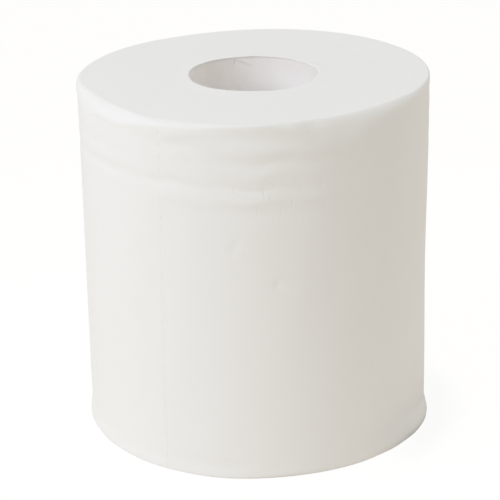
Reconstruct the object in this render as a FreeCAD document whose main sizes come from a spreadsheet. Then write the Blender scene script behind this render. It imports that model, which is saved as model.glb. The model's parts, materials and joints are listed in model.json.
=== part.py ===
"""Centrefeed hand towel roll, in millimetres.

One long web of soft two-ply paper, as wide as the roll is tall, wound on itself with no
core. It stands on one end. The origin is the centre of the bottom face, +Z runs up the
winding axis, the front is -Y, and the web's tail, its outer end, lies at the back on +Y.

The turns are drawn as a spiral from two centres. Half circles on the +X side of the YZ
plane turn about the roll's own axis, and those on the -X side about an axis half a step
nearer the front, so they meet smoothly at the front and miss by one step at the back.
"""
import FreeCAD, Part
import math
import os
import re
import Sketcher
from FreeCAD import Placement, Rotation, Vector

DIMENSIONS = (
    ("roll_height", 200, "width of the paper, which is the height of the roll"),
    ("roll_radius", 97, "outer radius, at the tail"),
    ("bore_radius", 35.5, "radius of the open centre that the paper is drawn from"),
    ("tail_step", 0.6, "how far the loose last turn stands off the turn below it"),
    ("rim_side", 3, "rounding of the top edge where it leaves the wall"),
    ("rim_end", 5, "rounding of the top edge where it reaches the top"),
    ("foot_bevel", 2, "how far the bottom edge is pressed in where the roll stands"),
    ("buckle_pitch", 12.2, "height of one buckle of the outer turns, below the rim"),
    ("buckle_depth", 0.5, "how far a buckle swells over the creases above and below it"),
    ("lead_step", 0.6, "thickness of the web's inner end, where it stops in the bore"),
    ("lead_angle", 105, "where the inner end stops, in degrees from +X"),
    ("lead_sweep", 70, "degrees over which the step behind it runs out"),
    ("mouth_break", 0.5, "how far the edges at both mouths of the bore are broken"),
    ("gap_first", 52, "radius of the innermost turn that stands open"),
    ("gap_pitch", 14, "distance from one open turn to the next"),
    ("gap_width", 0.9, "width of the gap at an open turn"),
    ("gap_depth", 0.35, "depth of the gap at an open turn"),
    ("slump_radius", 12, "rounding of the rim where it has slumped"),
    ("slump_clear", 0.6, "how far that rounding's ends clear the top and the wall"),
    ("slump_margin", 3, "how far outside the wall its cut reaches"),
    ("slump_shift", 15, "offset of its axis, which tapers it away at both ends"),
    ("slump_angle", -155, "middle of the slumped stretch, in degrees from +X"),
)
SHEET = "Dimensions"
NODE = "paper_roll"
CREASES = 3
OPEN_TURNS = 3
TAIL_ANGLE = "90"
HALF_CORNER = 45
HALF_TURN = 180
FULL_TURN = 360
LEAST_CHANGE = 1.0
NO_CORNER = 1e-3
RIM_LEVEL = (f"roll_height - rim_side * sin({HALF_CORNER}) - "
             f"rim_end * (1 - sin({HALF_CORNER}))")
BUCKLE_BEND = "((buckle_pitch / 2)^2 + buckle_depth^2) / (2 * buckle_depth)"

START, END, CENTRE = 1, 2, 3
ORIGIN = (-1, 1)
HORIZONTAL_AXIS = -1
ACROSS, UP = Vector(0, 1, 0), Vector(0, 0, 1)


# ---------------------------------------------------------------- sheet and sketch helpers

def make_sheet(doc):
    """One driving dimension to a row: its name, its value and what it is."""
    sheet = doc.addObject("Spreadsheet::Sheet", SHEET)
    for row, (alias, value, meaning) in enumerate(DIMENSIONS, start=1):
        sheet.set(f"A{row}", alias)
        sheet.set(f"B{row}", str(value))
        sheet.set(f"C{row}", meaning)
        sheet.setAlias(f"B{row}", alias)
    doc.recompute()


def from_sheet(formula):
    """The formula with every alias in it written as a reference to the sheet."""
    return re.sub(r"[a-z]+_[a-z]+", lambda alias: f"{SHEET}.{alias.group()}", formula)


def size(sketch, formula):
    """What the formula comes to with the sheet's present values."""
    return float(sketch.evalExpression(from_sheet(formula)))


def dimension(sketch, kind, places, name, formula):
    """A named dimension that follows the sheet."""
    index = sketch.addConstraint(Sketcher.Constraint(kind, *places, size(sketch, formula)))
    sketch.renameConstraint(index, name)
    sketch.setExpression(f"Constraints.{name}", from_sheet(formula))


def constrain(sketch, kind, *places):
    sketch.addConstraint(Sketcher.Constraint(kind, *places))


def line(x1, y1, x2, y2):
    return Part.LineSegment(Vector(x1, y1, 0), Vector(x2, y2, 0))


def arc(x, y, radius, first, last):
    """An arc round (x, y), counterclockwise between two angles in degrees."""
    circle = Part.Circle(Vector(x, y, 0), UP, radius)
    return Part.ArcOfCircle(circle, math.radians(first), math.radians(last))


def joint(piece, following):
    """How a piece meets the next one: tangentially, or at a corner."""
    leaving, = piece.tangent(piece.LastParameter)
    arriving, = following.tangent(following.FirstParameter)
    return "Tangent" if leaving.getAngle(arriving) < NO_CORNER else "Coincident"


def outline(sketch, pieces):
    """A closed outline of pieces that run on from each other, each from START to END."""
    drawn = [sketch.addGeometry(piece) for piece in pieces]
    joints = [joint(*pair) for pair in zip(pieces, pieces[1:] + pieces[:1])]
    for kind, here, following in zip(joints, drawn, drawn[1:] + drawn[:1]):
        constrain(sketch, kind, here, END, following, START)
    return drawn


def add_sketch(body, name, plane, spin, angle):
    """A sketch on one of the body's planes, turned about the roll's axis by angle."""
    sketch = body.newObject("Sketcher::SketchObject", name)
    support = next(part for part in body.Origin.OriginFeatures if part.Role == plane)
    sketch.AttachmentSupport = [(support, "")]
    sketch.MapMode = "FlatFace"
    sketch.AttachmentOffset = Placement(Vector(), Rotation(spin, size(sketch, angle)))
    sketch.setExpression("AttachmentOffset.Rotation.Angle", from_sheet(angle))
    return sketch


def add_section(body, name, angle, shift=None):
    """An upright section whose x runs outwards at this angle, and its turning axis.

    The axis is the roll's own, or is set back from it by shift.
    """
    sketch = add_sketch(body, name, "XZ_Plane", ACROSS, angle)
    x = -size(sketch, shift) if shift else 0
    axis = sketch.addGeometry(line(x, 0, x, size(sketch, "roll_height")), True)
    constrain(sketch, "Vertical", axis)
    dimension(sketch, "DistanceY", (axis, START, axis, END), "axis_length", "roll_height")
    if shift:
        constrain(sketch, "PointOnObject", axis, START, HORIZONTAL_AXIS)
        dimension(sketch, "DistanceX", (axis, START, *ORIGIN), "axis_shift", shift)
    else:
        constrain(sketch, "Coincident", axis, START, *ORIGIN)
    return sketch, axis


def turn(body, kind, name, sketch, angle, reverse=False):
    """Turn a section about its axis, to add (Revolution) or to cut (Groove)."""
    feature = body.newObject(f"PartDesign::{kind}", name)
    feature.Profile = sketch
    feature.ReferenceAxis = (sketch, ["Axis0"])
    feature.Angle = angle
    feature.Reversed = reverse
    body.Document.recompute()


# ---------------------------------------------------------------- the wound web

def buckle_arcs(sketch, wall):
    """The outer turns' buckles, upwards: arcs that swell to the wall and meet in creases.

    The first and the last are half arcs, so the wall and the rim run on smoothly.
    """
    bend, pitch = size(sketch, BUCKLE_BEND), size(sketch, "buckle_pitch")
    lean = math.degrees(math.asin(pitch / 2 / bend))
    first_crest = size(sketch, RIM_LEVEL) - CREASES * pitch
    firsts = [0] + [-lean] * CREASES
    lasts = [lean] * CREASES + [0]
    return [arc(wall - bend, first_crest + number * pitch, bend, first, last)
            for number, (first, last) in enumerate(zip(firsts, lasts))]


def dimension_buckles(sketch, buckles):
    """One radius for every arc, and their centres one above the other at the pitch."""
    dimension(sketch, "Radius", (buckles[0],), "bend", BUCKLE_BEND)
    for number, (below, above) in enumerate(zip(buckles, buckles[1:]), start=1):
        constrain(sketch, "Equal", below, above)
        constrain(sketch, "Vertical", below, CENTRE, above, CENTRE)
        dimension(sketch, "DistanceY", (below, CENTRE, above, CENTRE), f"pitch_{number}",
                  "buckle_pitch")
    constrain(sketch, "Horizontal", buckles[-1], CENTRE, buckles[-1], END)


def rim_arcs(sketch, wall):
    """The two arcs that round the rim, each through half of the corner."""
    side, end = size(sketch, "rim_side"), size(sketch, "rim_end")
    inner = wall - side + (side - end) * math.cos(math.radians(HALF_CORNER))
    return [arc(wall - side, size(sketch, RIM_LEVEL), side, 0, HALF_CORNER),
            arc(inner, size(sketch, "roll_height - rim_end"), end, HALF_CORNER, 90)]


def web_section(body, name, wall, shift=None):
    """The web's upright section: flat ends, a bevelled foot, buckles and a rounded rim."""
    sketch, axis = add_section(body, name, TAIL_ANGLE, shift)
    middle = -size(sketch, shift) if shift else 0
    outside, height = size(sketch, wall), size(sketch, "roll_height")
    bevel = size(sketch, "foot_bevel")
    buckles, rim = buckle_arcs(sketch, outside), rim_arcs(sketch, outside)
    base, foot, side, *buckles, rim_side, rim_end, top, _ = outline(sketch, [
        line(middle, 0, outside - bevel, 0),
        line(outside - bevel, 0, outside, bevel),
        line(outside, bevel, outside, buckles[0].Center.y),
        *buckles,
        *rim,
        line(rim[-1].Center.x, height, middle, height),
        line(middle, height, middle, 0),
    ])
    constrain(sketch, "Coincident", base, START, axis, START)
    constrain(sketch, "Coincident", top, END, axis, END)
    constrain(sketch, "Horizontal", base)
    constrain(sketch, "Horizontal", top)
    constrain(sketch, "Vertical", side)
    dimension(sketch, "DistanceX", (*ORIGIN, side, START), "wall", wall)
    dimension(sketch, "DistanceX", (foot, START, foot, END), "bevel_across", "foot_bevel")
    dimension(sketch, "DistanceY", (foot, START, foot, END), "bevel_up", "foot_bevel")
    dimension_buckles(sketch, buckles)
    dimension(sketch, "Radius", (rim_side,), "rim_side", "rim_side")
    dimension(sketch, "Radius", (rim_end,), "rim_end", "rim_end")
    dimension(sketch, "DistanceY", (rim_side, START, rim_side, END), "rim_rise",
              f"rim_side * sin({HALF_CORNER})")
    return sketch


def wind_web(body):
    """Both half turns. The one that comes round the +X side to the tail stands proud."""
    to_tail = web_section(body, "section_to_tail", "roll_radius")
    turn(body, "Revolution", "half_turn_to_tail", to_tail, HALF_TURN, reverse=True)
    under_tail = web_section(body, "section_under_tail", "roll_radius - tail_step",
                             shift="tail_step / 2")
    turn(body, "Revolution", "half_turn_under_tail", under_tail, HALF_TURN)


# ---------------------------------------------------------------- the open centre

def bore_plan(body):
    """The bore from above: a true circle but for the step at the web's inner end.

    The sketch's x points at that end. Just behind it the wall lies one thickness further
    out, and an arc round a centre moved towards the end brings it back to the circle.
    """
    sketch = add_sketch(body, "bore_plan", "XY_Plane", UP, "lead_angle")
    radius, thickness = size(sketch, "bore_radius"), size(sketch, "lead_step")
    sweep = size(sketch, "lead_sweep")
    meet_x = size(sketch, "bore_radius * cos(lead_sweep)")
    meet_y = -size(sketch, "bore_radius * sin(lead_sweep)")
    moved = thickness * (2 * radius + thickness) / (2 * (radius + thickness - meet_x))
    first = math.degrees(math.atan2(meet_y, meet_x - moved))
    wall, recess, step = outline(sketch, [
        arc(0, 0, radius, 0, FULL_TURN - sweep),
        arc(moved, 0, radius + thickness - moved, first, 0),
        line(radius + thickness, 0, radius, 0),
    ])
    constrain(sketch, "Coincident", wall, CENTRE, *ORIGIN)
    for piece, place in ((recess, CENTRE), (step, START), (step, END)):
        constrain(sketch, "PointOnObject", piece, place, HORIZONTAL_AXIS)
    dimension(sketch, "Radius", (wall,), "wall", "bore_radius")
    dimension(sketch, "DistanceX", (step, END, step, START), "thickness", "lead_step")
    dimension(sketch, "DistanceX", (*ORIGIN, recess, START), "run_out",
              "bore_radius * cos(lead_sweep)")
    return sketch


def open_bore(body):
    cut = body.newObject("PartDesign::Pocket", "bore")
    cut.Profile = bore_plan(body)
    cut.Reversed = True
    cut.setExpression("Length", from_sheet("roll_height"))
    body.Document.recompute()


def mouth_corner(sketch, name, side, face):
    """A triangle that takes a 45 degree corner off the bore's edge at one end face.

    Side is 1 on the top face and -1 on the bottom one. The triangle is three times the
    size of the corner, so that it reaches clear of the wall and the face.
    """
    cut = size(sketch, "mouth_break")
    x = size(sketch, "bore_radius - mouth_break")
    level = f"{face} + {side} * mouth_break"
    y = size(sketch, level)
    lid, _, back = outline(sketch, [
        line(x, y, x + 3 * cut, y),
        line(x + 3 * cut, y, x, y - side * 3 * cut),
        line(x, y - side * 3 * cut, x, y),
    ])
    constrain(sketch, "Horizontal", lid)
    constrain(sketch, "Vertical", back)
    constrain(sketch, "Equal", lid, back)
    dimension(sketch, "DistanceX", (lid, START, lid, END), f"{name}_leg", "3 * mouth_break")
    dimension(sketch, "DistanceX", (*ORIGIN, lid, START), f"{name}_inset",
              "bore_radius - mouth_break")
    dimension(sketch, "DistanceY", (*ORIGIN, lid, START), f"{name}_level", level)


def break_mouths(body):
    """Both edges of the bore, worn soft by the paper that is drawn over them."""
    sketch, _ = add_section(body, "mouth_section", TAIL_ANGLE)
    mouth_corner(sketch, "top", 1, "roll_height")
    mouth_corner(sketch, "bottom", -1, "0")
    turn(body, "Groove", "mouths", sketch, FULL_TURN)


# ---------------------------------------------------------------- turns on the end faces

def gap_triangle(sketch, x, face, side):
    """A V that cuts gap_depth into the face. It is drawn twice as large, to stand proud."""
    width, depth = size(sketch, "gap_width"), size(sketch, "gap_depth")
    tip, lid = face - side * depth, face + side * depth
    triangle = outline(sketch, [
        line(x - width, lid, x + width, lid),
        line(x + width, lid, x, tip),
        line(x, tip, x - width, lid),
    ])
    constrain(sketch, "Horizontal", triangle[0])
    return triangle


def gap_row(sketch, name, side, face, first_radius):
    """The open turns of one end face, cut across, evenly spaced from first_radius out."""
    first, pitch = size(sketch, first_radius), size(sketch, "gap_pitch")
    row = [gap_triangle(sketch, first + number * pitch, size(sketch, face), side)
           for number in range(OPEN_TURNS)]
    lid, slope, back = row[0]
    constrain(sketch, "Equal", slope, back)
    dimension(sketch, "DistanceX", (lid, START, lid, END), f"{name}_lid", "2 * gap_width")
    dimension(sketch, "DistanceX", (*ORIGIN, back, START), f"{name}_first", first_radius)
    dimension(sketch, "DistanceY", (*ORIGIN, back, START), f"{name}_tip",
              f"{face} - {side} * gap_depth")
    dimension(sketch, "DistanceY", (*ORIGIN, lid, START), f"{name}_lid_level",
              f"{face} + {side} * gap_depth")
    for number in range(1, OPEN_TURNS):
        for same, piece in zip(row[0], row[number]):
            constrain(sketch, "Equal", same, piece)
        inner, outer = row[number - 1][2], row[number][2]
        constrain(sketch, "Horizontal", inner, START, outer, START)
        dimension(sketch, "DistanceX", (inner, START, outer, START),
                  f"{name}_pitch_{number}", "gap_pitch")


def open_turns(body):
    """A spiral gap in both end faces, where one turn in many stands a little apart."""
    halves = (
        ("gaps_to_tail", "gap_first", None, True),
        ("gaps_under_tail", "gap_first - gap_pitch", "gap_pitch / 2", False),
    )
    for name, first_radius, shift, reverse in halves:
        sketch, _ = add_section(body, f"{name}_section", TAIL_ANGLE, shift)
        gap_row(sketch, "top", 1, "roll_height", first_radius)
        gap_row(sketch, "bottom", -1, "0", first_radius)
        turn(body, "Groove", name, sketch, HALF_TURN, reverse)


# ---------------------------------------------------------------- the slumped rim

def slump_rim(body):
    """The soft stretch of the rim at the front left, which runs out at both ends.

    The cut is the outside of a quarter circle. Its axis lies on the far side of the
    roll's, so it bites deepest at slump_angle and leaves the roll on either side.
    """
    sketch, _ = add_section(body, "slump_section", "slump_angle", "slump_shift")
    bend, clear = size(sketch, "slump_radius"), size(sketch, "slump_clear")
    margin = size(sketch, "slump_margin")
    x = size(sketch, "roll_radius + slump_clear - slump_radius")
    y = size(sketch, "roll_height + slump_clear - slump_radius")
    right, top = x + bend + margin, y + bend
    quarter, lid, outside, below = outline(sketch, [
        arc(x, y, bend, 0, 90),
        line(x, top, right, top),
        line(right, top, right, y),
        line(right, y, x + bend, y),
    ])
    constrain(sketch, "Horizontal", lid)
    constrain(sketch, "Vertical", outside)
    constrain(sketch, "Horizontal", below)
    constrain(sketch, "Horizontal", quarter, CENTRE, quarter, START)
    constrain(sketch, "Vertical", quarter, CENTRE, quarter, END)
    dimension(sketch, "Radius", (quarter,), "bend", "slump_radius")
    dimension(sketch, "DistanceX", (below, END, below, START), "margin", "slump_margin")
    dimension(sketch, "DistanceX", (*ORIGIN, quarter, START), "wall_clear",
              "roll_radius + slump_clear")
    dimension(sketch, "DistanceY", (*ORIGIN, quarter, END), "top_clear",
              "roll_height + slump_clear")
    turn(body, "Groove", "slump", sketch, FULL_TURN)


# ---------------------------------------------------------------- the whole roll

def make_roll(doc):
    body = doc.addObject("PartDesign::Body", "Roll")
    body.Label = NODE
    body.Placement = Placement()
    wind_web(body)
    open_bore(body)
    break_mouths(body)
    open_turns(body)
    slump_rim(body)
    return body


def check(doc, body):
    """Stop if anything failed, or if a feature left the roll as it found it."""
    for item in doc.Objects:
        if {"Invalid", "Error"} & set(item.State):
            raise RuntimeError(f"{item.Name} is {item.State}")
    volume = 0
    for feature in body.Group:
        if feature.isDerivedFrom("Sketcher::SketchObject"):
            if not feature.FullyConstrained:
                raise RuntimeError(f"{feature.Name} is not fully constrained")
            continue
        if abs(feature.Shape.Volume - volume) < LEAST_CHANGE:
            raise RuntimeError(f"{feature.Name} changes nothing")
        volume = feature.Shape.Volume
    if body.Shape.isNull() or not body.Shape.isValid() or len(body.Shape.Solids) != 1:
        raise RuntimeError("the roll is not one valid solid")


def main():
    doc = FreeCAD.newDocument("TowelRoll")
    make_sheet(doc)
    body = make_roll(doc)
    doc.recompute()
    check(doc, body)
    os.makedirs("parts", exist_ok=True)
    body.Shape.exportStep(f"parts/{body.Label}.step")
    print(f"{body.Label}: {body.Shape.Volume / 1e6:.3f} litres, {body.Shape.BoundBox}")


main()
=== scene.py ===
"""The centrefeed hand towel roll as it looks: soft white tissue, wound with no core.

Lengths are in millimetres, turned to metres where vertices are made and where a material
reads a position. Azimuth is in degrees from the front, -Y, and grows towards +X, the way
the web was wound, so that every turn grows outwards with it and the seam between one turn
and the next is at the back.
"""
import json
import math

import bpy
import numpy as np
from mathutils import Matrix, Vector


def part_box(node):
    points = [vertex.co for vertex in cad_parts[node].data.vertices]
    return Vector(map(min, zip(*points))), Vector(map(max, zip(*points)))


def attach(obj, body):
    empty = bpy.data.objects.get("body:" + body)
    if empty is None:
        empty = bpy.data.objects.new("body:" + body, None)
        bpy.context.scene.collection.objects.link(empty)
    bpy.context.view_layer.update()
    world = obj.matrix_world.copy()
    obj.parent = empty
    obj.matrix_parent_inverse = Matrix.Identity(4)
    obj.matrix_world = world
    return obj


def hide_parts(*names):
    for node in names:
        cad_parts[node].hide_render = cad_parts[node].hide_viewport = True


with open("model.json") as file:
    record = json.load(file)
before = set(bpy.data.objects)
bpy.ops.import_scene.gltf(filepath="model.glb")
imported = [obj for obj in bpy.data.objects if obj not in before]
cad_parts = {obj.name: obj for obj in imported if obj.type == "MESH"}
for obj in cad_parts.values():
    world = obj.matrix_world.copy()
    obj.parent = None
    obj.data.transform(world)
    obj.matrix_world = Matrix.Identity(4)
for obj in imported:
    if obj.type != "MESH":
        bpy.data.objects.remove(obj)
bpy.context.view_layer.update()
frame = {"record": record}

NODE = "paper_roll"
BODY = "root"
MM = 0.001

_, TOP_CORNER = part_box(NODE)
HEIGHT = TOP_CORNER.z / MM
RADIUS = TOP_CORNER.y / MM
BORE_MOUNT = next(m for m in frame["record"]["mounts"] if m["kind"] == "bore")
BORE = BORE_MOUNT["dims"]["r_mm"]

SHEET = 0.45           # the two-ply sheet, fluffed up where nothing presses it
PRESSED_SHEET = 0.24   # the same sheet in the bore, where the roll was wound tight
TAIL_STEP = 0.6        # what the loose last turn stands off the turn below it
SEAM = 180             # azimuth of the tail
MOUTH_BREAK = 0.3      # rounding of the bore's edges


# ------------------------------------------------------------------ shaping functions

def ease(x):
    """0 below 0, 1 above 1, and smooth between them."""
    x = np.clip(x, 0, 1)
    return x * x * (3 - 2 * x)


def mix(first, second, share):
    """From first to second as share goes from 0 to 1."""
    return first + (second - first) * share


def bell(x, half):
    """1 at 0, falling smoothly to nearly nothing at twice half."""
    return np.exp(-(x / half) ** 2)


def plateau(x, half):
    """Like bell, but with a flat top and steeper flanks."""
    return np.exp(-np.abs(x / half) ** 3)


def away(az, centre):
    """Degrees from centre to az, from -180 to 180."""
    return (az - centre + 180) % 360 - 180


def hump(az, at, half):
    """1 at one azimuth, falling smoothly on both sides of it."""
    return bell(away(az, at), half)


def humps(az, rows):
    """A sum of humps round the roll, from rows of height, azimuth and half width."""
    return sum(height * hump(az, at, half) for height, at, half in rows)


def through(az, points):
    """A value that eases from point to point round the roll: (azimuth, value) pairs."""
    at, values = np.array(points).T
    az = away(az, 0)
    place = np.clip(np.searchsorted(at, az, side="right") - 1, 0, len(at) - 2)
    share = ease((az - at[place]) / (at[place + 1] - at[place]))
    return mix(values[place], values[place + 1], share)


def ripple(seed, az, z, lobes, length, count=7):
    """Smooth unevenness round the roll, from about -1 to 1: a few waves of random phase.

    Lobes is the range of waves in one turn and length the shortest wave along the roll.
    Every use has a seed of its own, so none depends on another.
    """
    random = np.random.default_rng(seed)
    total = 0
    for _ in range(count):
        turns = random.integers(lobes[0], lobes[1] + 1)
        climb = random.uniform(-1, 1) * 2 * math.pi / length
        phase = random.uniform(0, 2 * math.pi)
        total = total + np.cos(np.radians(az) * turns + climb * z + phase)
    return total / math.sqrt(count)


def level_ripple(seed, az, lobes):
    """A ripple that is the same at every height."""
    return ripple(seed, az, 0, lobes, length=1)


def ripples(az, z, rows):
    """A sum of ripples, from rows of height, seed, lobes and length."""
    return sum(height * ripple(seed, az, z, lobes, length)
               for height, seed, lobes, length in rows)


def spaced(*stretches, end=True):
    """Numbers along some stretches, each a start, an end and a count, in one list."""
    last = len(stretches) - 1
    return np.concatenate([np.linspace(*stretch, endpoint=end and number == last)
                           for number, stretch in enumerate(stretches)])


# ------------------------------------------------------------------ the outer turns

# Here and below, a table for humps has rows of height, azimuth and half width, and one for
# ripples has rows of height, seed, lobes and length.

# Bands where the outer turns swell (+) or sink (-), below the rim and above the foot, all
# of them towards the front: depth below the top, drift of that depth in mm for each
# degree, azimuth, half width in degrees, half height, and swell.
BANDS = (
    (6.0, 0.00, -24, 13, 3.4, 0.34),
    (12.8, 0.00, -24, 14, 3.6, -0.26),
    (6.6, 0.00, -4, 11, 3.2, -0.34),
    (14.0, 0.03, 5, 17, 3.4, 0.36),
    (20.3, 0.00, 4, 22, 3.2, -0.28),
    (26.6, 0.00, 3, 20, 3.2, 0.26),
    (34.0, 0.08, -10, 23, 2.8, -0.42),
    (32.4, 0.00, -56, 24, 3.2, -0.26),
    (40.6, -0.02, -4, 30, 3.6, 0.40),
    (47.6, 0.00, 2, 26, 4.4, -0.18),
    (36.4, 0.00, -2, 14, 1.3, 0.10),
    (13.0, -0.40, 20, 9, 11.0, 0.30),
    (191.8, 0.00, -14, 26, 3.0, -0.22),
    (191.0, 0.00, -60, 18, 3.0, -0.12),
    (198.6, 0.00, -22, 34, 2.6, 0.30),
)
BAND_WAVER = 0.7       # how far a band strays up and down
BAND_UNEVEN = 0.3      # the share by which its swell varies
# Creases all round the roll: depth below the top and how far the fold sinks.
CREASES = ((9.5, 0.42), (21.8, 0.32), (32.6, 0.40))
CREASE_HALF = 3.2
WANDER_SEED = 20
STRENGTH_SEED = 30
CREASE_WANDER = 2.0
CREASE_STRENGTH = 0.7  # the usual share of the full depth, and how much
CREASE_VARIES = 0.6    # that share varies round the roll
FRONT = (-12, 48)      # where bands take the creases' place: azimuth and half width
CALM = (62, 30)        # where the creases are weak
CALM_SHARE = 0.8
# Small dents: depth below the top, azimuth, half width and half height in mm, and depth.
DENTS = (
    (86.7, 6.6, 1.6, 2.1, 0.50),
    (87.4, 9.6, 6.0, 4.0, 0.30),
    (67.6, -7.3, 1.8, 2.2, 0.32),
    (64.0, -6.1, 1.8, 2.0, 0.28),
    (7.0, 22.0, 1.4, 1.4, 0.22),
    (8.2, -30.8, 1.3, 1.6, 0.25),
)
# At the left the rim spreads outwards over the turns below it, in a lip: humps.
LIP = ((1.6, -93, 15),)
LIP_TALL = 12
# The roll has been stood down hard and its foot has spread, most at the right: azimuth and
# spread. The spread fades out over the height FLARE_TALL, which is more in places.
FLARE = ((-125, 0), (-100, 0.7), (-80, 1.2), (-64, 0.4), (-50, 0), (24, 0), (40, 0.6),
         (54, 2.1), (64, 3.0), (73, 2.9), (81, 2.1), (87, 1.1), (96, 0), (125, 0))
FLARE_TALL = 3.5
FLARE_TALLER = ((10, 58, 21), (8, -85, 35))
FLARE_BASE = 1.5       # the lowest stretch, which stands upright
# The soft roll is a little wider from side to side than it was wound, and narrower at the
# right, halfway up.
WIDE = ((0.3, -90, 50), (0.1, 92, 50))
WAIST = ((-0.8, 92, 45),)
WAIST_AT = 88
WAIST_HALF = 52
# The whole wall is slightly uneven, but for its foot: ripples, and the height from which
# it is as uneven as it gets.
LOOSE = ((0.10, 1, (2, 7), 260), (0.05, 2, (9, 22), 90))
LOOSE_FROM = 25
WALL_INSET = 0.15      # the wall lies this far inside the CAD's


def buckles(az, depth):
    """The outer turns' swells and creases. Those away from the front are less marked."""
    total = 0
    waver = BAND_WAVER * ripple(41, az, depth, lobes=(9, 26), length=50)
    uneven = 1 + BAND_UNEVEN * ripple(42, az, depth, lobes=(8, 20), length=60)
    for at, drift, centre, half, tall, swell in BANDS:
        side = away(az, centre)
        height = bell(depth + waver - at - drift * side, tall)
        total = total + swell * uneven * plateau(side, half) * height
    room = (1 - hump(az, *FRONT)) * (1 - CALM_SHARE * hump(az, *CALM))
    for number, (at, fold) in enumerate(CREASES):
        wander = CREASE_WANDER * level_ripple(WANDER_SEED + number, az, lobes=(1, 3))
        varies = CREASE_VARIES * level_ripple(STRENGTH_SEED + number, az, lobes=(1, 4))
        height = bell(depth - at - wander, CREASE_HALF)
        strength = np.clip(CREASE_STRENGTH + varies, 0, 2)
        total = total - fold * strength * room * height
    return total


def pushed_in(az, depth, rows, radius):
    """How far small spots of a wall are pushed towards the axis, from rows like DENTS."""
    total = 0
    for at, centre, wide, tall, deep in rows:
        across = np.radians(away(az, centre)) * radius
        total = total + deep * bell(across, wide) * bell(depth - at, tall)
    return total


def flare(az, z):
    """How far the foot has spread."""
    tall = FLARE_TALL + humps(az, FLARE_TALLER)
    return through(az, FLARE) * (1 - ease((z - FLARE_BASE) / tall))


def turn_radius(az):
    """The wall as it was wound, from two centres, as the CAD solid has it."""
    az = away(az, 0)
    shift = np.where(az < 0, TAIL_STEP / 2, 0)
    angle = np.radians(az)
    return shift * np.cos(angle) + np.sqrt((RADIUS - shift) ** 2 - (shift * np.sin(angle)) ** 2)


def wall_radius(az, z):
    """The wall, but for its edges, the tail and the perforation."""
    depth = HEIGHT - z
    loose = ripples(az, z, LOOSE) * ease(z / LOOSE_FROM)
    lip = humps(az, LIP) * ease(1 - depth / LIP_TALL)
    waist = humps(az, WIDE) + humps(az, WAIST) * bell(z - WAIST_AT, WAIST_HALF)
    return (turn_radius(az) + buckles(az, depth) - pushed_in(az, depth, DENTS, RADIUS) + lip
            + flare(az, z) + waist + loose - WALL_INSET)


# ------------------------------------------------------------------ the edges

# The rim: azimuth, how far in from the wall the flat top ends, how far down from the top
# the wall begins to round, and how far round it goes: short of 90 degrees it meets the top
# in a crease. On the left the outer turns have slumped and lie over at a slant, at the
# front the edge is crisp, at the front right it is worn round, and beyond it is crisp again.
RIM = ((-180, 1.3, 1.6, 66), (-125, 1.5, 1.9, 64), (-96, 2.4, 3.8, 64), (-84, 3.4, 6.6, 70),
       (-70, 6.2, 10.8, 74), (-58, 6.2, 6.2, 74), (-48, 4.8, 6.4, 72), (-37, 3.6, 3.5, 66),
       (-29, 4.3, 2.5, 60), (-20, 3.4, 2.9, 58), (-11, 1.1, 2.2, 56), (3, 0.7, 1.4, 56),
       (11, 2.2, 4.5, 52), (20, 4.5, 11.5, 56), (29, 4.9, 15.5, 62), (39, 4.8, 10.0, 56),
       (53, 3.3, 5.8, 56), (66, 1.9, 3.2, 60), (83, 0.8, 1.4, 64), (110, 1.0, 1.4, 66),
       (180, 1.3, 1.6, 66))
RIM_UNEVEN = 0.08      # the share by which its reach varies
SLUMP_AT = -46
SLUMP_HALF = 18
SLUMP_SLANT = 0.45     # there the rim is this much of the way from a curve to a slant
# How far the outermost turns have slipped below the rest (+), or stand above them (-).
TOP_DROP = ((0.7, -37, 9), (-0.4, 0, 12), (-1.2, 92, 68), (-0.6, 150, 28), (0.4, -148, 34),
            (0.7, 29, 13))
DROP_UNEVEN = 0.15
TOP_INSET = 0.25       # the end face lies this far below the CAD's
OUTER_TURNS = 26       # the turns that have slipped begin this far inside the wall,
OUTER_EASE = 24        # and over this width each has slipped further
BORE_RISE = 0.25       # the innermost turns stand proud, over a width of INNER_TURNS
INNER_TURNS = 9
DISH = 0.25            # how uneven the end face is
# At the front left the end face sags towards the rim, over a width of SAG_REACH.
SAG = ((0.7, -62, 34),)
SAG_REACH = 17
# The rounding of the foot: how far in and how far up it goes, at least and more in places.
FOOT_ACROSS = 0.5
FOOT_FURTHER = ((0.7, -80, 18), (1.2, 12, 13), (0.7, 58, 16))
FOOT_UP = 0.9
FOOT_HIGHER = ((1.6, -80, 20), (1.6, 12, 15), (2.4, 58, 16))


def rim(az):
    """How far across and down the rim reaches, and how many degrees round it goes."""
    across, down, end = (through(az, [(row[0], row[column]) for row in RIM])
                         for column in (1, 2, 3))
    across = across * (1 + RIM_UNEVEN * level_ripple(5, az, lobes=(4, 12)))
    down = down * (1 + RIM_UNEVEN * level_ripple(8, az, lobes=(4, 12)))
    return across, down, end


def top_height(az, radius):
    """The end face's height, but for the turns' own relief."""
    outer = ease((radius - (RADIUS - OUTER_TURNS)) / OUTER_EASE)
    inner = ease(1 - (radius - BORE) / INNER_TURNS)
    drop = humps(az, TOP_DROP) + DROP_UNEVEN * level_ripple(6, az, lobes=(2, 6))
    dish = DISH * ripple(7, az, radius, lobes=(1, 4), length=120)
    sag = humps(az, SAG) * np.clip(1 - (RADIUS - radius) / SAG_REACH, 0, 1) ** 2
    return HEIGHT - TOP_INSET - drop * outer + BORE_RISE * inner + dish * (1 - outer) - sag


def base_height(az, radius):
    """The base is flat."""
    return np.zeros_like(radius)


# ------------------------------------------------------------------ meshes

def to_xyz(az, radius, z):
    """Points in metres."""
    angle = np.radians(az)
    points = np.stack(np.broadcast_arrays(radius * np.sin(angle), -radius * np.cos(angle), z),
                      axis=-1)
    return points * MM


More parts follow.
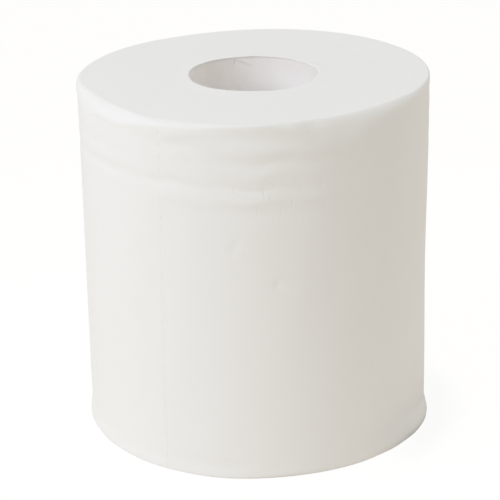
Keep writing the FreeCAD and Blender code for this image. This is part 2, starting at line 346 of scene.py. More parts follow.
def make_piece(name, points, faces, material, end_grain=None, smooth=None):
    """A piece of the roll, which rides on its body and takes the tissue's finish.

    Smooth is the number of its first faces that are smooth, or None for all.
    """
    mesh = bpy.data.meshes.new(name)
    mesh.from_pydata(points.tolist(), [], faces)
    count = len(faces) if smooth is None else smooth
    mesh.polygons.foreach_set("use_smooth", np.arange(len(faces)) < count)
    if end_grain is not None:
        layer = mesh.attributes.new("end_grain", "FLOAT", "POINT")
        layer.data.foreach_set("value", end_grain.astype(np.float32))
    mesh.materials.append(material)
    mesh.validate()
    mesh.update()
    piece = bpy.data.objects.new(name, mesh)
    bpy.context.scene.collection.objects.link(piece)
    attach(piece, BODY)
    return piece


class Grid:
    """Vertices and faces collected row by row."""

    def __init__(self, az):
        self.az = az
        self.count = len(az)
        self.points = []
        self.grain = []
        self.faces = []
        self.total = 0

    def add(self, az, radius, z, grain):
        """Adds vertices and returns the number of the first."""
        first = self.total
        points = to_xyz(az, radius, z).reshape(-1, 3)
        self.points.append(points)
        self.grain.append(np.broadcast_to(grain, (len(points),)))
        self.total += len(points)
        return first

    def ring(self, az, radius, z, grain):
        """Adds a row of vertices and returns their numbers."""
        first = self.add(az, radius, z, grain)
        return list(range(first, first + self.count))

    def bridge(self, low, high):
        """Quads between two rings, which turn outwards if high follows low clockwise."""
        n = self.count
        self.faces += [(low[j], low[(j + 1) % n], high[(j + 1) % n], high[j])
                       for j in range(n)]


# ------------------------------------------------------------------ the outside

# The mesh's columns: azimuths from, to and how many. They are closer at the front.
COLUMNS = ((-180, -66, 80), (-66, 60, 148), (60, 180, 84))
# The wall's rows, which are closer near the top, where the ripples are: share of its
# height from, to and how many.
WALL_ROWS = ((0, 0.70, 83), (0.70, 1, 64))
RIM_ROWS = 8
FOOT_ROWS = 6

PERFORATION = -30.7    # azimuth of the perforation, halfway up
PERFORATION_LEAN = 0.0045     # degrees of azimuth for each millimetre up
LEAN_HALF = 12         # how far on each side the mesh's columns lean with it
SLIT_HALF = 0.13
SLIT_PITCH = 6.6       # from cut to cut, and each cut is half as long
SLIT_DEPTH = 0.22
SLIT_FADE = 1.2        # the cut ends at this many of its half widths
# The columns at the perforation, and how far the others keep from it, in half widths of
# the cut.
SLIT_COLUMNS = np.array([-2.4, -1, 0, 1, 2.4])
SLIT_ROOM = 4

# The body sinks below the tail over TAIL_EASE degrees, from TAIL_REACH before its edge.
TAIL_REACH = 55
TAIL_EASE = 35


def columns():
    """Azimuths of the mesh's columns, with extra ones at the perforation."""
    sides = spaced(*COLUMNS, end=False)
    sides = sides[np.abs(sides - PERFORATION) > SLIT_HALF * SLIT_ROOM]
    return np.sort(np.concatenate([sides, PERFORATION + SLIT_HALF * SLIT_COLUMNS]))


def tail_recess(az, z):
    """The body lies back below the loose last turn, at all heights alike."""
    side = away(az, SEAM)
    return np.where(side <= 0, -TAIL_STEP * ease((side + TAIL_REACH) / TAIL_EASE), 0)


def perforation_slit(column_az, z):
    """Depth of the cuts at the perforation, half of each pitch long."""
    cut = np.where(z % SLIT_PITCH < SLIT_PITCH / 2, SLIT_DEPTH, 0)
    return cut * ease(1 - np.abs(column_az - PERFORATION) / SLIT_HALF / SLIT_FADE)


def lean(column_az, z):
    """Columns near the perforation lean with it."""
    beside = hump(column_az, PERFORATION, LEAN_HALF)
    return column_az + PERFORATION_LEAN * (z - HEIGHT / 2) * beside


def foot_rows(az, stand_off, up):
    """The rounding of the foot, from the base to the height up."""
    across = FOOT_ACROSS + humps(az, FOOT_FURTHER)
    radius = wall_radius(az, up) + stand_off(az, 0)
    angles = np.radians(np.linspace(90, 0, FOOT_ROWS, endpoint=False))
    return [(az, radius - across * (1 - math.cos(angle)), up * (1 - math.sin(angle)))
            for angle in angles]


def wall_rows(az, stand_off, low, high):
    """The wall between two heights, with the cuts of the perforation."""
    rows = []
    for share in spaced(*WALL_ROWS):
        z = mix(low, high, share)
        here = lean(az, z)
        radius = wall_radius(here, z) + stand_off(here, z) - perforation_slit(az, z)
        rows.append((here, radius, z))
    return rows


def rim_rows(az, stand_off, high, reach):
    """The rim above the height high: a curve, or nearly a slant where it has slumped."""
    across, down, end = reach
    end = np.radians(end)
    slant = SLUMP_SLANT * plateau(away(az, SLUMP_AT), SLUMP_HALF)
    rows = []
    for share in np.linspace(0, 1, RIM_ROWS + 1)[1:]:
        angle = end * share
        in_share = mix((1 - np.cos(angle)) / (1 - np.cos(end)), share, slant)
        up_share = mix(np.sin(angle) / np.sin(end), share, slant)
        z = high + down * up_share
        radius = wall_radius(az, z) + stand_off(az, high) - across * in_share
        rows.append((mix(lean(az, z), az, share), radius, z))
    return rows


def outer_rows(az, stand_off):
    """(azimuth, radius, height) of each row of the outside, from the base to the top.

    Stand_off is a function of azimuth and height that gives how far the surface stands
    off the wall as it was wound.
    """
    reach = rim(az)
    across, down, _ = reach
    low = FOOT_UP + humps(az, FOOT_HIGHER)
    high = top_height(az, RADIUS - across) - down
    return (foot_rows(az, stand_off, low) + wall_rows(az, stand_off, low, high)
            + rim_rows(az, stand_off, high, reach))


# ------------------------------------------------------------------ the end faces

TOP_PITCH = 1.3        # from one modelled turn to the next
BASE_PITCH = 2.0
SPIRAL_MARGIN = 0.15   # the share of a turn left between the spiral and the edges
EDGE_POWER = 6         # the higher, the fewer outer turns follow the wall's unevenness
# Some turns lie a little lower than others: waves for each modelled turn, and phase.
TURN_WAVES = ((0.37, 0), (0.61, 1), (0.29, 2))
TURN_SUNK = 0.022
LEVEL_SHARE = 1 / 12   # the relief fades at both edges, over this share of the face


def turn_relief(share, turns):
    """How far each turn lies below the end face."""
    waves = sum(1 + np.cos(2 * math.pi * rate * turns * share + phase)
                for rate, phase in TURN_WAVES)
    return TURN_SUNK * waves * ease(share / LEVEL_SHARE) * ease((1 - share) / LEVEL_SHARE)


def end_face(grid, inner, inner_radius, outer, outer_radius, pitch, height, side):
    """The spiral of turns on an end face, one row of vertices a turn.

    Each turn's last vertex is followed by the first of the next turn, so the rows run on
    as the paper does. Side is 1 on the top and -1 on the base.
    """
    az, n = grid.az, grid.count
    far = float(np.max(outer_radius))
    turns = int((far - inner_radius) / pitch)
    all_turns = turns + 2 * SPIRAL_MARGIN
    share = (np.arange(turns)[:, None] + (az[None, :] + 180) / 360 + SPIRAL_MARGIN) / all_turns
    share = np.append(share.ravel(), (turns + SPIRAL_MARGIN) / all_turns)
    all_az = np.append(np.tile(az, turns), az[0])
    edge = np.append(np.tile(outer_radius, turns), outer_radius[0])
    radius = mix(inner_radius, far, share) + (edge - far) * share ** EDGE_POWER
    z = height(all_az, radius) - side * turn_relief(share, turns)
    first = grid.add(all_az, radius, z, 1.0)
    spiral = [first + k for k in range(turns * n + 1)]
    faces = [(spiral[k], spiral[k + 1], spiral[k + n + 1], spiral[k + n])
             for k in range((turns - 1) * n)]
    last = (turns - 1) * n
    faces += [(inner[j], inner[(j + 1) % n], spiral[j + 1], spiral[j]) for j in range(n)]
    faces += [(spiral[last + j], spiral[last + j + 1], outer[(j + 1) % n], outer[j])
              for j in range(n)]
    faces += [(inner[0], spiral[0], spiral[n]), (spiral[last], outer[0], spiral[last + n])]
    grid.faces += faces if side < 0 else [face[::-1] for face in faces]


# ------------------------------------------------------------------ the bore

LEAD = -162.0          # azimuth of the web's inner end
LEAD_STEP = 0.22
LEAD_BEHIND = 60       # degrees over which the bore's wall makes room for it, and
LEAD_AHEAD = 45        # over which the wall closes in again past its edge
# The bore's wall is slightly uneven, in ripples.
FLUTES = ((0.16, 11, (3, 8), 300), (0.09, 12, (9, 19), 120))
# Small spots that stand into the bore, in rows like those of DENTS.
BORE_BUMPS = ((3.4, 146, 1.6, 1.6, 0.20), (4.6, 135, 1.4, 1.4, 0.15))
# The turns at the mouth overhang the rest at the back, most beside the inner end.
OVERHANG = 0.25
OVERHANG_MORE = ((0.3, -158, 26),)
OVERHANG_NONE = (40, 80)       # where there is none: azimuth and half width
OVERHANG_FROM = 0.35
OVERHANG_EASE = 0.8
OVERHANG_TALL = 6
# A corner of the innermost turn has been pulled inwards with the paper.
CORNER_AT = -163       # azimuth where it starts
CORNER_WIDE = 14       # the unit of width, in degrees, for the next four values
CORNER_SLOPE = 4.8     # how much further down it hangs with each
CORNER_RISE = 0.5      # over how many it comes out
CORNER_FALL = 0.8      # and goes back
CORNER_END = 1.4       # how many it has in all
CORNER_LOW = 0.8       # how far down it hangs where it starts
CORNER_BELOW = 0.7     # how far below that its lower edge is back on the wall,
CORNER_EASE = 1.3      # and over what height it gets there
CORNER_PULL = 0.6
# Depths of the rings in the bore, from, to and how many, with more behind the mouth.
BORE_ROWS = ((0.5, 3.2, 10), (3.2, 12, 14), (12, HEIGHT - 1, 34))
MOUTH_ANGLES = (90, 60, 30, 0)


def bore_recess(az):
    """The bore's wall keeps clear of the inner end of the web, which lies on it."""
    side = away(az, LEAD)
    behind = ease(1 + side / LEAD_BEHIND) * (side < 0)
    ahead = ease(1 - side / LEAD_AHEAD) * (side >= 0)
    return LEAD_STEP * (behind + ahead)


def pulled_corner(az, depth):
    """How far a corner of the innermost turn has been pulled inwards with the paper."""
    along = -away(az, CORNER_AT) / CORNER_WIDE
    low = CORNER_LOW + CORNER_SLOPE * np.clip(along, 0, CORNER_END)
    above = ease((low + CORNER_BELOW - depth) / CORNER_EASE)
    across = ease(along / CORNER_RISE) * ease((CORNER_END - along) / CORNER_FALL)
    return CORNER_PULL * np.clip(depth / low, 0, 1) * above * across


def bore_radius(az, z):
    """The bore's wall, but for its rounded edges."""
    depth = HEIGHT - z
    overhang = (OVERHANG + humps(az, OVERHANG_MORE)) * (1 - hump(az, *OVERHANG_NONE))
    under = ease((depth - OVERHANG_FROM) / OVERHANG_EASE) * bell(depth, OVERHANG_TALL)
    return (BORE + ripples(az, z, FLUTES) - pushed_in(az, depth, BORE_BUMPS, BORE)
            + overhang * under + bore_recess(az) - pulled_corner(az, depth))


def mouth_ring(az, z, angle):
    """Radius of the bore's rounded edge near the height z, and how far in z it reaches.

    Angle is 90 degrees where the edge meets the end face, and 0 where it meets the wall.
    """
    angle = math.radians(angle)
    radius = bore_radius(az, z) + MOUTH_BREAK * (1 - math.cos(angle))
    return radius, MOUTH_BREAK * (1 - math.sin(angle))


def bore_rings(grid):
    """The rings of vertices from the top's edge down to the base's."""
    az = grid.az
    rings = []
    for angle in MOUTH_ANGLES:
        radius, below = mouth_ring(az, HEIGHT - MOUTH_BREAK, angle)
        grain = 1.0 if angle == MOUTH_ANGLES[0] else 0.5
        rings.append(grid.ring(az, radius, top_height(az, BORE) - below, grain))
    for depth in spaced(*BORE_ROWS):
        z = HEIGHT - depth
        rings.append(grid.ring(az, bore_radius(az, z), z, 0.0))
    for angle in reversed(MOUTH_ANGLES):
        radius, above = mouth_ring(az, MOUTH_BREAK, angle)
        rings.append(grid.ring(az, radius, above, 0.5))
    return rings


# ------------------------------------------------------------------ the pieces

END_GAP = 0.2          # from the bore's widest point to where the spirals start


def make_roll(material):
    """The wound web as one closed skin: outside, bore, top and base."""
    az = columns()
    grid = Grid(az)
    outside = outer_rows(az, tail_recess)
    wall = [grid.ring(here, radius, z, 0.0) for here, radius, z in outside]
    bore = bore_rings(grid)
    for rings in (wall, bore):
        for low, high in zip(rings, rings[1:]):
            grid.bridge(low, high)
    top_mouth = np.max(bore_radius(az, HEIGHT - MOUTH_BREAK)) + MOUTH_BREAK
    base_mouth = np.max(bore_radius(az, 0)) + MOUTH_BREAK
    _, base_edge, _ = outside[0]
    _, top_edge, _ = outside[-1]
    end_face(grid, bore[0], float(top_mouth) + END_GAP, wall[-1], top_edge, TOP_PITCH,
             top_height, 1)
    end_face(grid, bore[-1], float(base_mouth) + END_GAP, wall[0], base_edge, BASE_PITCH,
             base_height, -1)
    return make_piece("wound_roll", np.concatenate(grid.points), grid.faces, material,
                      np.concatenate(grid.grain))


def shell(name, outside, inside, material):
    """A closed thin sheet from two grids of points, one for each face."""
    rows, cols = outside.shape[:2]
    count = rows * cols

    def at(i, j, face):
        return face * count + i * cols + j

    faces = []
    for i in range(rows - 1):
        for j in range(cols - 1):
            faces.append((at(i, j, 0), at(i, j + 1, 0), at(i + 1, j + 1, 0), at(i + 1, j, 0)))
            faces.append((at(i, j, 1), at(i + 1, j, 1), at(i + 1, j + 1, 1), at(i, j + 1, 1)))
    smooth = len(faces)
    for i in range(rows - 1):
        faces.append((at(i, 0, 0), at(i + 1, 0, 0), at(i + 1, 0, 1), at(i, 0, 1)))
        faces.append((at(i, cols - 1, 0), at(i, cols - 1, 1), at(i + 1, cols - 1, 1),
                      at(i + 1, cols - 1, 0)))
    for j in range(cols - 1):
        faces.append((at(0, j, 0), at(0, j, 1), at(0, j + 1, 1), at(0, j + 1, 0)))
        faces.append((at(rows - 1, j, 0), at(rows - 1, j + 1, 0), at(rows - 1, j + 1, 1),
                      at(rows - 1, j, 1)))
    points = np.concatenate([outside.reshape(-1, 3), inside.reshape(-1, 3)])
    return make_piece(name, points, faces, material, smooth=smooth)


# The tail's columns, closer at its torn edge, and its rows: all of the wall's, and those
# of the foot and the rim that are nearest to the wall.
TAIL_COLUMNS = ((122, 168, 34), (168, 180.4, 26))
TAIL_ROWS = slice(3, -5)
# Where it starts it lies inside the body. It comes out over TAIL_RISE degrees, from
# TAIL_OUT before its edge.
TAIL_SUNK = 0.25
TAIL_OUT = 50
TAIL_RISE = 30
# It lifts over LIFT_WIDE degrees, from LIFT_FROM before its edge: by LIFT, by up to
# LIFT_WAVES in two waves, and by up to LIFT_CORNER at its upper corner.
LIFT_FROM = 16
LIFT_WIDE = 17
LIFT = 0.12
LIFT_WAVES = 0.25
LIFT_CORNER = 0.45
WAVE, SLOW_WAVE = 17, 41       # mm for each radian of the two
WAVE_PHASE = 0.6
UPPER_CORNER = (10, 16)        # depth below the top and half height
LOWER_CORNER = 14              # half height
LOWER_SHARE = 0.7              # what it lifts, for each mm at the upper corner

TORN_WIDE = 4          # the tear shifts the columns over this many degrees
TORN_THIN = 0.5        # and thins the sheet by this share
TORN_TAB = 0.20        # degrees by which the paper between two cuts sticks out,
TORN_CUT = -0.06       # and by which the cuts lie back
TORN_RAGGED = 0.6      # the share by which both vary
RAGGED_TURN = 2.3      # and how far that moves on from row to row, in radians
# The tear wanders in slow waves: degrees, mm for each radian, and phase.
TORN_WAVES = ((0.28, 29, 0), (0.14, 11, 1))


def tail_lift(az, z):
    """How far the loose end stands off: most at its free edge and its corners."""
    side = away(az, SEAM)
    at, tall = UPPER_CORNER
    corners = bell(HEIGHT - at - z, tall) + LOWER_SHARE * bell(z, LOWER_CORNER)
    waves = (1 + np.cos(z / WAVE + WAVE_PHASE) * np.cos(z / SLOW_WAVE)) / 2
    lift = LIFT + LIFT_WAVES * waves + LIFT_CORNER * corners
    sunk = TAIL_SUNK * (1 - ease((side + TAIL_OUT) / TAIL_RISE))
    return lift * ease((side + LIFT_FROM) / LIFT_WIDE) ** 2 - sunk


def torn_edge(number, height):
    """Degrees by which the torn edge sticks out at one row: tabs, waves and its lean."""
    tab = TORN_TAB if height % SLIT_PITCH < SLIT_PITCH / 2 else TORN_CUT
    tab = tab * (1 + TORN_RAGGED * math.sin(number * RAGGED_TURN))
    waves = sum(size * math.sin(height / length + phase) for size, length, phase in TORN_WAVES)
    return tab + waves + PERFORATION_LEAN * (height - HEIGHT / 2)


def make_tail(material):
    """The web's loose outer end, torn off along a perforation at the back."""
    rows = outer_rows(spaced(*TAIL_COLUMNS), tail_lift)[TAIL_ROWS]
    outside, inside = [], []
    for number, (here, radius, z) in enumerate(rows):
        share = ease((here - SEAM + TORN_WIDE) / TORN_WIDE)
        here = here + torn_edge(number, float(z[-1])) * share
        outside.append(to_xyz(here, radius, z))
        inside.append(to_xyz(here, radius - SHEET * (1 - TORN_THIN * share), z))
    return shell("loose_tail", np.array(outside), np.array(inside), material)


# The inner end: depths of its rows, and its columns as a share of the way to its edge.
LEAD_ROWS = ((0.6, 24, 40), (24, HEIGHT - 1.5, 70))
LEAD_COLUMNS = ((0, 0.7, 20), (0.7, 1, 16))
LEAD_WIDE = 46         # degrees from where it starts to LEAD
LEAD_INSET = 0.35      # how far it lies below the end face
LEAD_GAP = 0.05        # how far it lies behind the wall's ripples,
LEAD_SUNK = 0.25       # how much further behind them where it starts,
LEAD_OUT = 0.2         # and over what share of it that fades
# Its edge: degrees past LEAD, by how much that wavers, and mm for each radian of it.
EDGE_PAST = -1.5
EDGE_WAVER = 0.4
EDGE_WAVE = 6
# Towards its edge it lies back, but for its upper corner, which peels off into the bore.
PEEL_FROM = 0.82
PEEL_BACK = 0.30
PEEL_CORNER = 0.45
PEEL_DEPTH, PEEL_TALL = 1, 2.5
LEAD_THIN = 0.5        # the share by which its edge is thinner,
LEAD_THIN_FROM = 0.9   # and the share of the way from which it thins


def lead_edge(depth):
    """Azimuth of the inner end's free edge, which is nearly upright."""
    return LEAD + EDGE_PAST + EDGE_WAVER * np.cos(depth / EDGE_WAVE)


def make_lead(material):
    """The web's inner end, where it stops on the wall of the bore."""
    depth = spaced(*LEAD_ROWS)[:, None]
    share = spaced(*LEAD_COLUMNS)[None, :]
    az = mix(LEAD + LEAD_WIDE, lead_edge(depth), share)
    z = HEIGHT - LEAD_INSET - depth
    wall = bore_radius(az, z) - bore_recess(az)
    corner = PEEL_CORNER * bell(depth - PEEL_DEPTH, PEEL_TALL)
    peel = ease((share - PEEL_FROM) / (1 - PEEL_FROM)) * (corner - PEEL_BACK)
    radius = wall + LEAD_GAP + LEAD_SUNK * ease(1 - share / LEAD_OUT) - peel
    thin = LEAD_THIN * ease((share - LEAD_THIN_FROM) / (1 - LEAD_THIN_FROM))
    outer = radius + PRESSED_SHEET * (1 - thin)
    return shell("inner_end", to_xyz(az, outer, z), to_xyz(az, radius, z), material)


# ------------------------------------------------------------------ materials

class Nodes:
    """The node tree of a material or the world, emptied, with short ways to fill it."""

    def __init__(self, owner):
        owner.use_nodes = True
        self.tree = owner.node_tree
        self.tree.nodes.clear()

    def add(self, kind, inputs=None, **settings):
        """A node with some inputs set or linked."""
        made = self.tree.nodes.new("ShaderNode" + kind)
        for name, value in settings.items():
            setattr(made, name, value)
        for key, value in (inputs or {}).items():
            socket = made.inputs[key]
            if isinstance(value, bpy.types.NodeSocket):
                self.tree.links.new(value, socket)
            else:
                socket.default_value = value
        return made

    def maths(self, operation, first, second=0.0):
        return self.add("Math", {0: first, 1: second}, operation=operation).outputs[0]

    def plus(self, first, second):
        return self.maths("ADD", first, second)

    def minus(self, first, second):
        return self.maths("SUBTRACT", first, second)

    def times(self, first, second):
        return self.maths("MULTIPLY", first, second)

    def vector(self, x, y, z):
        return self.add("CombineXYZ", {"X": x, "Y": y, "Z": z}).outputs[0]

    def noise(self, vector, scale, detail, roughness):
        inputs = {"Vector": vector, "Scale": scale, "Detail": detail, "Roughness": roughness}
        return self.add("TexNoise", inputs).outputs["Fac"]

    def layers(self, vector, coarse, fine, share):
        """Coarse noise and a share of fine noise."""
        return self.plus(self.noise(vector, *coarse), self.times(self.noise(vector, *fine), share))

    def ramp(self, value, start, end, **settings):
        """From 0 where value is start to 1 where it is end."""
        inputs = {"Value": value, "From Min": start, "From Max": end}
        return self.add("MapRange", inputs, **settings).outputs[0]

    def blend(self, share, first, second):
        """From one colour to another."""
        return self.add("Mix", {0: share, 6: first, 7: second}, data_type="RGBA").outputs[2]

    def join(self, share, first, second):
        """From one shader to another."""
        return self.add("MixShader", {0: share, 1: first, 2: second}).outputs[0]

    def output(self, kind, shader):
        """The last node, which gives the surface its shader."""
        self.add(kind, {"Surface": shader})

    def straight_to_camera(self):
        """1 for what the camera sees, also in glossy and clear surfaces, and 0 for light."""
        path = self.add("LightPath").outputs
        seen = self.maths("MAXIMUM", path["Is Camera Ray"], path["Is Glossy Ray"])
        return self.maths("MAXIMUM", seen, path["Is Transmission Ray"])


# Noise: scale, detail and roughness. Layers are coarse noise, fine noise and the share of
# the fine: crepe lines that run up the wall, and the turns' edges on the end faces.
CREPE = ((0.75, 2.0, 0.55), (2.6, 2.0, 0.6), 0.45)
EDGES = ((0.8, 2.0, 0.5), (3.1, 1.0, 0.5), 0.4)
PUCKERS = (1.0, 1.0, 0.6)
FIBRES = (2600.0, 3.0, 0.7)
CLOUDS = (70.0, 3.0, 0.55)
FIBRES_RELIEF = 0.25   # how much the fibres add to the relief
CLOUDS_TONE, FIBRES_TONE = 0.6, 0.4
# How finely each is spaced, for each metre round the roll, through it and up it, and for
# the end faces through it and round it.
CREPE_ROUND, CREPE_THROUGH, CREPE_UP = 1000.0, 30.0, 110.0
EDGES_THROUGH, EDGES_ROUND = 1000.0, 1.5
PUCKERS_ROUND, PUCKERS_UP = 560.0, 130.0
# Puckers show where their noise is high, most in one zone: its azimuth in radians and how
# soon they fade beside it, its depth below the top and half height, and what is left of
# them beside it and below it.
PUCKERS_FROM, PUCKERS_FULL = 0.60, 0.72
PUCKERS_AT, PUCKERS_FADE = 0.10, 7.0
PUCKERS_DEPTH, PUCKERS_HALF = 38, 24
PUCKERS_BESIDE, PUCKERS_BELOW = 0.12, 0.10
RELIEF_STRENGTH, RELIEF_HEIGHT = 0.28, 0.00012
PUCKERS_STRENGTH, PUCKERS_HEIGHT = 0.45, -0.0003
PAPER_DARK = (0.850, 0.850, 0.832, 1)
PAPER_LIGHT = (0.872, 0.872, 0.856, 1)
# Painted light on the bore's wall, standing in for light bounced about inside the bore:
# slightly pinker and paler than the paper near the mouth, and paler still below it. It
# begins between these distances outside the bore's radius.
BORE_LIGHT_FROM, BORE_LIGHT_FULL = 2.0, 0.9
BORE_PAINTED_LIGHT_MOUTH = (0.90, 0.868, 0.845, 1)
BORE_PAINTED_LIGHT_DEEP = (0.998, 0.972, 0.955, 1)
MOUTH_DEPTH, BORE_LIGHT_DEPTH = 2, 14


def paper_relief(nodes, along, angle, radius, z, grain, fibres):
    """Crepe lines on the wall, the turns' edges on the end faces, and fibres on both."""
    wall = nodes.vector(nodes.times(along, CREPE_ROUND), nodes.times(radius, CREPE_THROUGH),
                        nodes.times(z, CREPE_UP))
    turns = nodes.vector(nodes.times(radius, EDGES_THROUGH),
                         nodes.times(nodes.maths("COSINE", angle), EDGES_ROUND),
                         nodes.times(nodes.maths("SINE", angle), EDGES_ROUND))
    inputs = {0: grain, 2: nodes.layers(wall, *CREPE), 3: nodes.layers(turns, *EDGES)}
    relief = nodes.add("Mix", inputs, data_type="FLOAT").outputs[0]
    return nodes.plus(relief, nodes.times(fibres, FIBRES_RELIEF))


def paper_puckers(nodes, along, angle, z):
    """Short upright puckers, most of them at the front below the rim."""
    upright = nodes.vector(nodes.times(along, PUCKERS_ROUND), 0.0, nodes.times(z, PUCKERS_UP))
    puckers = nodes.ramp(nodes.noise(upright, *PUCKERS), PUCKERS_FROM, PUCKERS_FULL)
    cosine = nodes.maths("COSINE", nodes.minus(angle, PUCKERS_AT))
    beside = nodes.minus(1.0, nodes.times(PUCKERS_FADE, nodes.minus(1.0, cosine)))
    middle = (HEIGHT - PUCKERS_DEPTH) * MM
    below = nodes.maths("DIVIDE", nodes.minus(z, middle), PUCKERS_HALF * MM)
    below = nodes.minus(1.0, nodes.maths("ABSOLUTE", below))
    zone = nodes.times(nodes.maths("MAXIMUM", beside, PUCKERS_BESIDE),
                       nodes.maths("MAXIMUM", below, PUCKERS_BELOW))
    return nodes.times(puckers, zone)


def paper_bump(nodes, angle, radius, z, grain, fibres):
    """The relief that is too fine for the mesh."""
    along = nodes.times(angle, RADIUS * MM)
    relief = paper_relief(nodes, along, angle, radius, z, grain, fibres)
    bump = nodes.add("Bump", {"Strength": RELIEF_STRENGTH, "Distance": RELIEF_HEIGHT,
                              "Height": relief}).outputs[0]
    puckers = paper_puckers(nodes, along, angle, z)
    return nodes.add("Bump", {"Strength": PUCKERS_STRENGTH, "Distance": PUCKERS_HEIGHT,
                              "Height": puckers, "Normal": bump}).outputs[0]


def paper_colour(nodes, place, radius, z, grain, fibres):
    """White paper with faint clouds, and painted light on the bore's wall."""
    tone = nodes.plus(nodes.times(nodes.noise(place, *CLOUDS), CLOUDS_TONE),
                      nodes.times(fibres, FIBRES_TONE))
    paper = nodes.blend(tone, PAPER_DARK, PAPER_LIGHT)
    # Painted light: the bore's wall pinker and paler than the paper, paler still deep down.
    inside = nodes.ramp(radius, (BORE + BORE_LIGHT_FROM) * MM, (BORE + BORE_LIGHT_FULL) * MM)
    inside = nodes.times(inside, nodes.minus(1.0, grain))
    deep = nodes.ramp(z, (HEIGHT - MOUTH_DEPTH) * MM, (HEIGHT - BORE_LIGHT_DEPTH) * MM)
    return nodes.blend(inside, paper, nodes.blend(deep, BORE_PAINTED_LIGHT_MOUTH, BORE_PAINTED_LIGHT_DEEP))


def make_tissue():
    """Soft white two-ply tissue, with a slight sheen."""
    material = bpy.data.materials.new("tissue")
    nodes = Nodes(material)
    place = nodes.add("TexCoord").outputs["Object"]
    x, y, z = nodes.add("SeparateXYZ", {0: place}).outputs
    angle = nodes.maths("ARCTAN2", x, nodes.times(y, -1.0))
    radius = nodes.maths("SQRT", nodes.plus(nodes.times(x, x), nodes.times(y, y)))
    grain = nodes.add("Attribute", attribute_name="end_grain").outputs["Fac"]
    fibres = nodes.noise(place, *FIBRES)
    shader = nodes.add("BsdfPrincipled", {
        "Base Color": paper_colour(nodes, place, radius, z, grain, fibres),
        "Roughness": 0.95, "Specular IOR Level": 0.15,
        "Sheen Weight": 0.12, "Sheen Roughness": 0.6,
        "Normal": paper_bump(nodes, angle, radius, z, grain, fibres)})
    nodes.output("OutputMaterial", shader.outputs[0])
    return material


# ------------------------------------------------------------------ the stage

# The floor's colour to the light: paler near the roll, as a painted pool of light, and darker
# further out.
FLOOR_NEAR = (0.86, 0.80, 0.728, 1)
FLOOR_FAR = (0.68, 0.62, 0.545, 1)
FLOOR_PAINTED_SHADOW = (0.26, 0.245, 0.22, 1)
FLOOR_WHITE = 1.04
FLOOR_SHARE = 0.90     # how much of what the camera sees of the floor is plain white
# In metres, as the rest of the stage: half the floor's width, how far it lies below the
# roll, and the distances from the roll's axis between which its colour changes.
FLOOR_HALF = 4.0
FLOOR_GAP = 0.0002
NEAR_REACH, FAR_REACH = 0.15, 0.6
# A painted shadow on the floor beside the roll's right foot keeps back-light off the
# foot, which is dark in the photograph: its azimuth, the distances towards that side
# between which it begins, and those from the axis between which it ends.
SHADE_SIDE = math.radians(80)
SHADE_START, SHADE_FULL = 0.078, 0.104
SHADE_END, SHADE_LAST = 0.125, 0.102


def make_floor_paint():
    """White to the camera but for the roll's shadow. To the light a warm, pale colour, with
    a painted pool of light near the roll and a painted shadow beside its right foot.
    """
    material = bpy.data.materials.new("floor_paint")
    nodes = Nodes(material)
    smooth = {"interpolation_type": "SMOOTHSTEP"}
    place = nodes.add("TexCoord").outputs["Object"]
    reach = nodes.add("VectorMath", {0: place}, operation="LENGTH").outputs["Value"]
    side = (math.sin(SHADE_SIDE), -math.cos(SHADE_SIDE), 0)
    off_side = nodes.add("VectorMath", {0: place, 1: side}, operation="DOT_PRODUCT")
    # The painted shadow beside the roll's right foot.
    painted_shadow = nodes.times(
        nodes.ramp(off_side.outputs["Value"], SHADE_START, SHADE_FULL, **smooth),
        nodes.ramp(reach, SHADE_END, SHADE_LAST, **smooth))
    # Paler near the roll: a painted pool of light.
    tone = nodes.blend(nodes.ramp(reach, NEAR_REACH, FAR_REACH, **smooth), FLOOR_NEAR, FLOOR_FAR)
    tone = nodes.blend(painted_shadow, tone, FLOOR_PAINTED_SHADOW)
    paint = nodes.add("BsdfDiffuse", {"Color": tone}).outputs[0]
    glow = nodes.add("Emission", {"Color": (1, 1, 1, 1), "Strength": FLOOR_WHITE}).outputs[0]
    share = nodes.times(nodes.straight_to_camera(), FLOOR_SHARE)
    nodes.output("OutputMaterial", nodes.join(share, paint, glow))
    return material


def make_floor():
    """A large floor just below the roll."""
    mesh = bpy.data.meshes.new("floor")
    half = FLOOR_HALF
    mesh.from_pydata([(-half, -half, 0), (half, -half, 0), (half, half, 0), (-half, half, 0)],
                     [], [(0, 1, 2, 3)])
    mesh.materials.append(make_floor_paint())
    floor = bpy.data.objects.new("floor", mesh)
    floor.location.z = -FLOOR_GAP
    bpy.context.scene.collection.objects.link(floor)


SKY = (1.0, 0.976, 0.927)
SKY_LIGHT = 0.714
# The lamps: azimuth, rise, distance and size in metres, watts and colour.
LAMPS = {
    "key": (-57, 32, 1.9, 1.3, 13.7, (0.862, 0.943, 1.085)),
    "fill": (128, 25, 1.9, 1.0, 3.1, (0.95, 0.97, 1.08)),
}


def make_sky():
    """A pale sky all round, which the camera sees as white."""
    world = bpy.data.worlds.new("studio")
    nodes = Nodes(world)
    light = nodes.add("Background", {"Color": (*SKY, 1), "Strength": SKY_LIGHT}).outputs[0]
    white = nodes.add("Background", {"Color": (1, 1, 1, 1), "Strength": 1.0}).outputs[0]
    nodes.output("OutputWorld", nodes.join(nodes.straight_to_camera(), light, white))
    bpy.context.scene.world = world


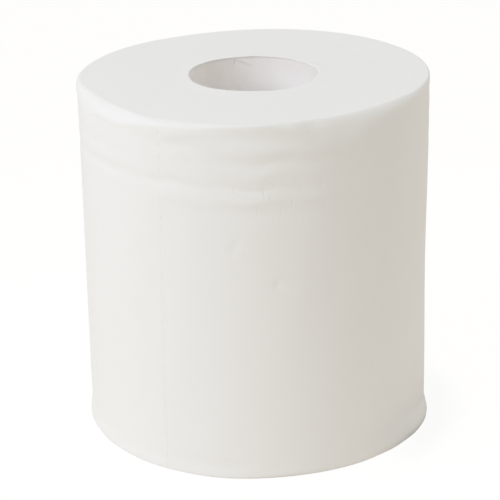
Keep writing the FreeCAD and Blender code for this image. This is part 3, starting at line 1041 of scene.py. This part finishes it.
def make_lamps():
    """A large lamp up on the left and a weak one behind, both aimed at the roll."""
    for name, (azimuth, rise, distance, size, watts, colour) in LAMPS.items():
        lamp = bpy.data.lights.new(name, "AREA")
        lamp.shape = "DISK"
        lamp.size = size
        lamp.energy = watts
        lamp.color = colour
        azimuth, rise = math.radians(azimuth), math.radians(rise)
        towards = Vector((math.sin(azimuth) * math.cos(rise),
                          -math.cos(azimuth) * math.cos(rise), math.sin(rise)))
        stand = bpy.data.objects.new(name, lamp)
        stand.location = Vector((0, 0, HEIGHT / 2 * MM)) + towards * distance
        stand.rotation_euler = towards.to_track_quat("Z", "Y").to_euler()
        bpy.context.scene.collection.objects.link(stand)


# The camera, fitted to the roll's outline in the photograph: its place in metres, its
# turns in degrees and its lens in millimetres.
CAMERA_BACK, CAMERA_HEIGHT = 0.9947, 0.4809
CAMERA_PITCH, CAMERA_YAW, CAMERA_ROLL = 21.18, -0.195, -1.008
CAMERA_LENS, CAMERA_SENSOR = 134.54, 36


def make_camera():
    """The photograph's viewpoint: in front of the roll and above it, looking down at it."""
    pitch, yaw, roll = (math.radians(turn) for turn in (CAMERA_PITCH, CAMERA_YAW, CAMERA_ROLL))
    forward = Vector((math.sin(yaw) * math.cos(pitch), math.cos(yaw) * math.cos(pitch),
                      -math.sin(pitch)))
    level = Vector((math.cos(yaw), -math.sin(yaw), 0))
    upright = level.cross(forward)
    right = level * math.cos(roll) + upright * math.sin(roll)
    up = upright * math.cos(roll) - level * math.sin(roll)
    lens = bpy.data.cameras.new("camera")
    lens.lens = CAMERA_LENS
    lens.sensor_width = CAMERA_SENSOR
    camera = bpy.data.objects.new("camera", lens)
    axes = Matrix((right, up, -forward)).transposed().to_4x4()
    camera.matrix_world = Matrix.Translation((0, -CAMERA_BACK, CAMERA_HEIGHT)) @ axes
    bpy.context.scene.collection.objects.link(camera)
    bpy.context.scene.camera = camera


# ------------------------------------------------------------------ all of it

make_camera()
tissue = make_tissue()
roll = make_roll(tissue)
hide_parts(NODE)
make_tail(tissue)
make_lead(tissue)
make_floor()
make_sky()
make_lamps()
bpy.context.scene.view_settings.view_transform = "Standard"
